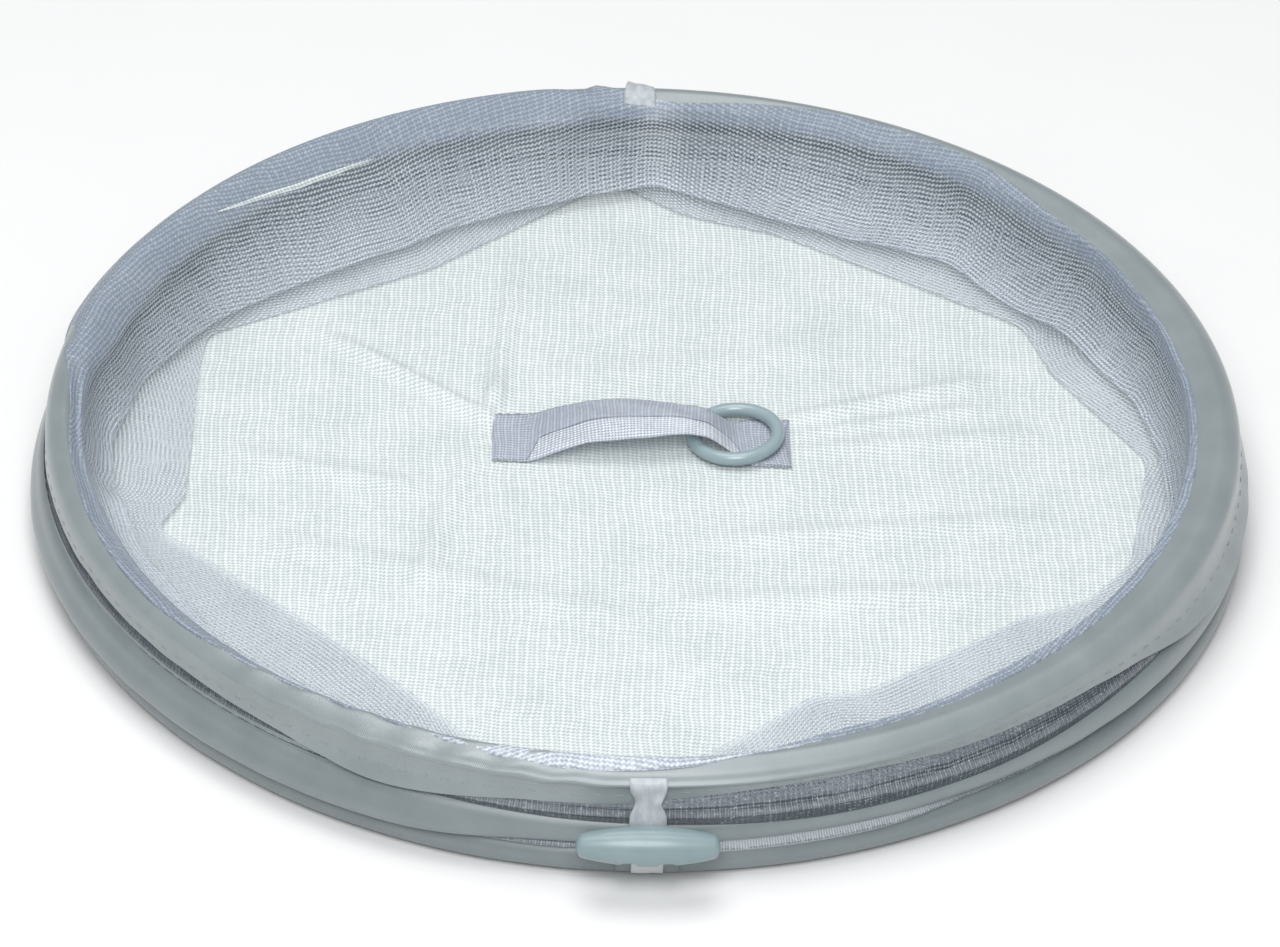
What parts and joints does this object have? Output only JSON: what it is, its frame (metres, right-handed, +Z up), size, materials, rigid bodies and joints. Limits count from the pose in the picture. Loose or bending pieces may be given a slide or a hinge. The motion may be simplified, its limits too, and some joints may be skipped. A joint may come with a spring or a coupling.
{
  "type": "collapsible mesh basket",
  "caption": "Round pop-up mesh basket folded flat, with stacked fabric-covered hoops, inward-folded mesh walls, a pull strap with a ring, and toggle closures.",
  "frame": {"origin": "middle of the mesh base, on the surface that the basket lies on", "axes": "+Z up out of the open top, -Y to the front toggle, +X along the pull strap towards the ring"},
  "size_m": [0.45, 0.4814, 0.0438],
  "materials": {
    "hoop_tube": "matte polyethylene tube",
    "plug_steel": "plain steel",
    "base_sleeve_fabric": "woven polyester, grey-green",
    "middle_sleeve_fabric": "woven polyester, grey-green",
    "binding_fabric": "woven polyester with a soft sheen, grey-green",
    "base_mesh": "open warp-knit mesh, white",
    "wall_mesh": "open warp-knit mesh, pale blue-grey",
    "strap_mesh": "doubled warp-knit mesh, pale blue-grey",
    "thread": "sewing thread, grey",
    "ring_plastic": "smooth pale blue",
    "toggle_plastic": "smooth grey-green",
    "tape": "woven cotton tape, white",
    "ribbon_satin": "white satin ribbon"
  },
  "bodies": {
    "base": {"base_hoop": "hoop_tube", "base_hoop_joiner": "plug_steel", "base_sleeve": "base_sleeve_fabric", "base_panel": "base_mesh", "pull_strap": "strap_mesh", "strap_stitching": "thread", "lower_wall": "wall_mesh"},
    "middle": {"middle_hoop": "hoop_tube", "middle_hoop_joiner": "plug_steel", "middle_sleeve": "middle_sleeve_fabric", "middle_seam_thread": "thread", "upper_wall": "wall_mesh"},
    "top": {"top_hoop": "hoop_tube", "top_hoop_joiner": "plug_steel", "top_binding": "binding_fabric", "top_seam_thread": "thread", "front_ribbon": "ribbon_satin", "rear_ribbon": "ribbon_satin"},
    "ring": {"pull_ring": "ring_plastic"},
    "front_toggle": {"front_toggle": "toggle_plastic", "front_toggle_tape": "tape"},
    "rear_toggle": {"rear_toggle": "toggle_plastic", "rear_toggle_tape": "tape"}
  },
  "joints": [
    {"name": "middle_rise", "type": "slide", "parent": "base", "child": "middle", "axis": [0, 0, 1], "range_m": [0, 0.106], "deforming": ["lower_wall"]},
    {"name": "top_rise", "type": "slide", "parent": "middle", "child": "top", "axis": [0, 0, 1], "range_m": [0, 0.106], "deforming": ["upper_wall"]},
    {"name": "ring_swing", "type": "hinge", "parent": "base", "child": "ring", "pos_m": [0.0195, 0.0305, 0.0039], "axis": [0, -1, 0], "range_deg": [0, 95]},
    {"name": "front_toggle_swing", "type": "hinge", "parent": "base", "child": "front_toggle", "pos_m": [0, -0.2258, 0.0028], "axis": [1, 0, 0], "range_deg": [0, 40]},
    {"name": "rear_toggle_swing", "type": "hinge", "parent": "base", "child": "rear_toggle", "pos_m": [0, 0.2258, 0.0028], "axis": [-1, 0, 0], "range_deg": [0, 40]}
  ]
}
